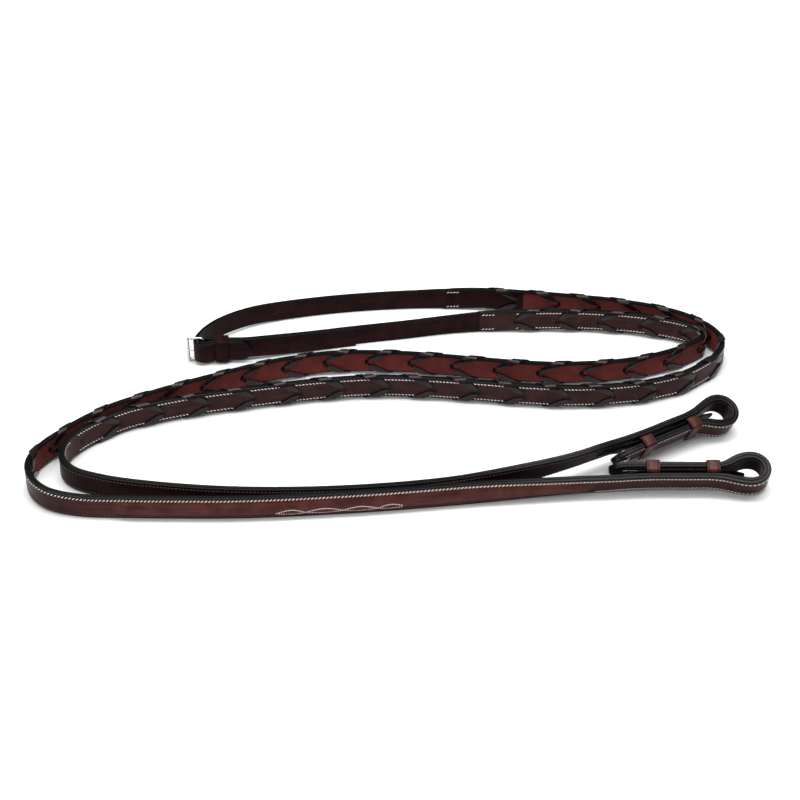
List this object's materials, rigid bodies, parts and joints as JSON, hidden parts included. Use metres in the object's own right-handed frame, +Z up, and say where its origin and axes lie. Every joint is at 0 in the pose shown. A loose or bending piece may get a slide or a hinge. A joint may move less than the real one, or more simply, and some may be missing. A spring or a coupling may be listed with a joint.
{
  "type": "leather riding reins",
  "caption": "Laced English riding reins in dark brown leather, folded on edge, with raised bit ends, hook stud billets, leather keepers and a centre buckle.",
  "frame": {"origin": "middle of the footprint, on the surface the straps stand on", "axes": "+X along the three folded lines, from the centre buckle's end towards the bit ends; +Y from the line with the bit ends towards the line with the centre buckle; +Z up across the straps' width"},
  "size_m": [0.483, 0.2579, 0.0244],
  "materials": {
    "grain_leather": "smooth dark brown bridle leather with black painted edges and light stitching",
    "plain_leather": "plain near-black brown leather",
    "textured_lining": "embossed reddish-brown grip lining",
    "lace_leather": "glossy near-black lacing",
    "keeper_leather": "reddish tan, creased",
    "steel": "polished stainless steel"
  },
  "bodies": {
    "straps": {"buckle_rein_centre_strap": "plain_leather", "buckle_rein_grip_leather": "grain_leather", "buckle_rein_grip_lining": "textured_lining", "buckle_rein_upper_lace": "lace_leather", "buckle_rein_lower_lace": "lace_leather", "buckle_rein_bend_lining": "plain_leather", "point_rein_centre_strap": "plain_leather", "point_rein_grip_leather": "grain_leather", "point_rein_grip_lining": "textured_lining", "point_rein_upper_lace": "lace_leather", "point_rein_lower_lace": "lace_leather", "point_rein_bend_lining": "plain_leather"},
    "buckle_rein_bit_end": {"buckle_rein_bit_leather": "grain_leather", "buckle_rein_bit_lining": "plain_leather", "buckle_rein_raised_core": "plain_leather", "buckle_rein_hook_base": "plain_leather", "buckle_rein_hook_stud": "steel"},
    "point_rein_bit_end": {"point_rein_bit_leather": "grain_leather", "point_rein_bit_lining": "plain_leather", "point_rein_raised_core": "plain_leather", "point_rein_hook_base": "plain_leather", "point_rein_hook_stud": "steel"},
    "buckle_rein_outer_keeper": {"buckle_rein_outer_keeper": "keeper_leather"},
    "buckle_rein_inner_keeper": {"buckle_rein_inner_keeper": "keeper_leather"},
    "point_rein_outer_keeper": {"point_rein_outer_keeper": "keeper_leather"},
    "point_rein_inner_keeper": {"point_rein_inner_keeper": "keeper_leather"},
    "centre_buckle_frame": {"centre_buckle_frame": "steel"},
    "centre_buckle_prong": {"centre_buckle_prong": "steel"},
    "centre_keeper": {"centre_keeper": "keeper_leather"}
  },
  "joints": [
    {"name": "buckle_rein_flex", "type": "hinge", "parent": "straps", "child": "buckle_rein_bit_end", "pos_m": [-0.19584, -0.1252, 0.008], "axis": [0, 0, -1], "range_deg": [0, 35]},
    {"name": "point_rein_flex", "type": "hinge", "parent": "straps", "child": "point_rein_bit_end", "pos_m": [-0.18329, -0.10134, 0.008], "axis": [0, 0, 1], "range_deg": [0, 3]},
    {"name": "buckle_rein_outer_keeper_slide", "type": "slide", "parent": "buckle_rein_bit_end", "child": "buckle_rein_outer_keeper", "axis": [1, 0, 0], "range_m": [0, 0.007]},
    {"name": "buckle_rein_inner_keeper_slide", "type": "slide", "parent": "buckle_rein_bit_end", "child": "buckle_rein_inner_keeper", "axis": [1, 0, 0], "range_m": [-0.008, 0]},
    {"name": "point_rein_outer_keeper_slide", "type": "slide", "parent": "point_rein_bit_end", "child": "point_rein_outer_keeper", "axis": [0.8434, 0.5373, 0], "range_m": [0, 0.007]},
    {"name": "point_rein_inner_keeper_slide", "type": "slide", "parent": "point_rein_bit_end", "child": "point_rein_inner_keeper", "axis": [0.8434, 0.5373, 0], "range_m": [-0.008, 0]},
    {"name": "centre_buckle_swing", "type": "hinge", "parent": "straps", "child": "centre_buckle_frame", "pos_m": [-0.1388, 0.05565, 0.01], "axis": [0, 0, -1], "range_deg": [0, 20]},
    {"name": "centre_buckle_prong_lift", "type": "hinge", "parent": "straps", "child": "centre_buckle_prong", "pos_m": [-0.1388, 0.05565, 0.01], "axis": [0, 0, 1], "range_deg": [0, 15]},
    {"name": "centre_keeper_slide", "type": "slide", "parent": "straps", "child": "centre_keeper", "axis": [1, 0, 0], "range_m": [0, 0.012]}
  ]
}
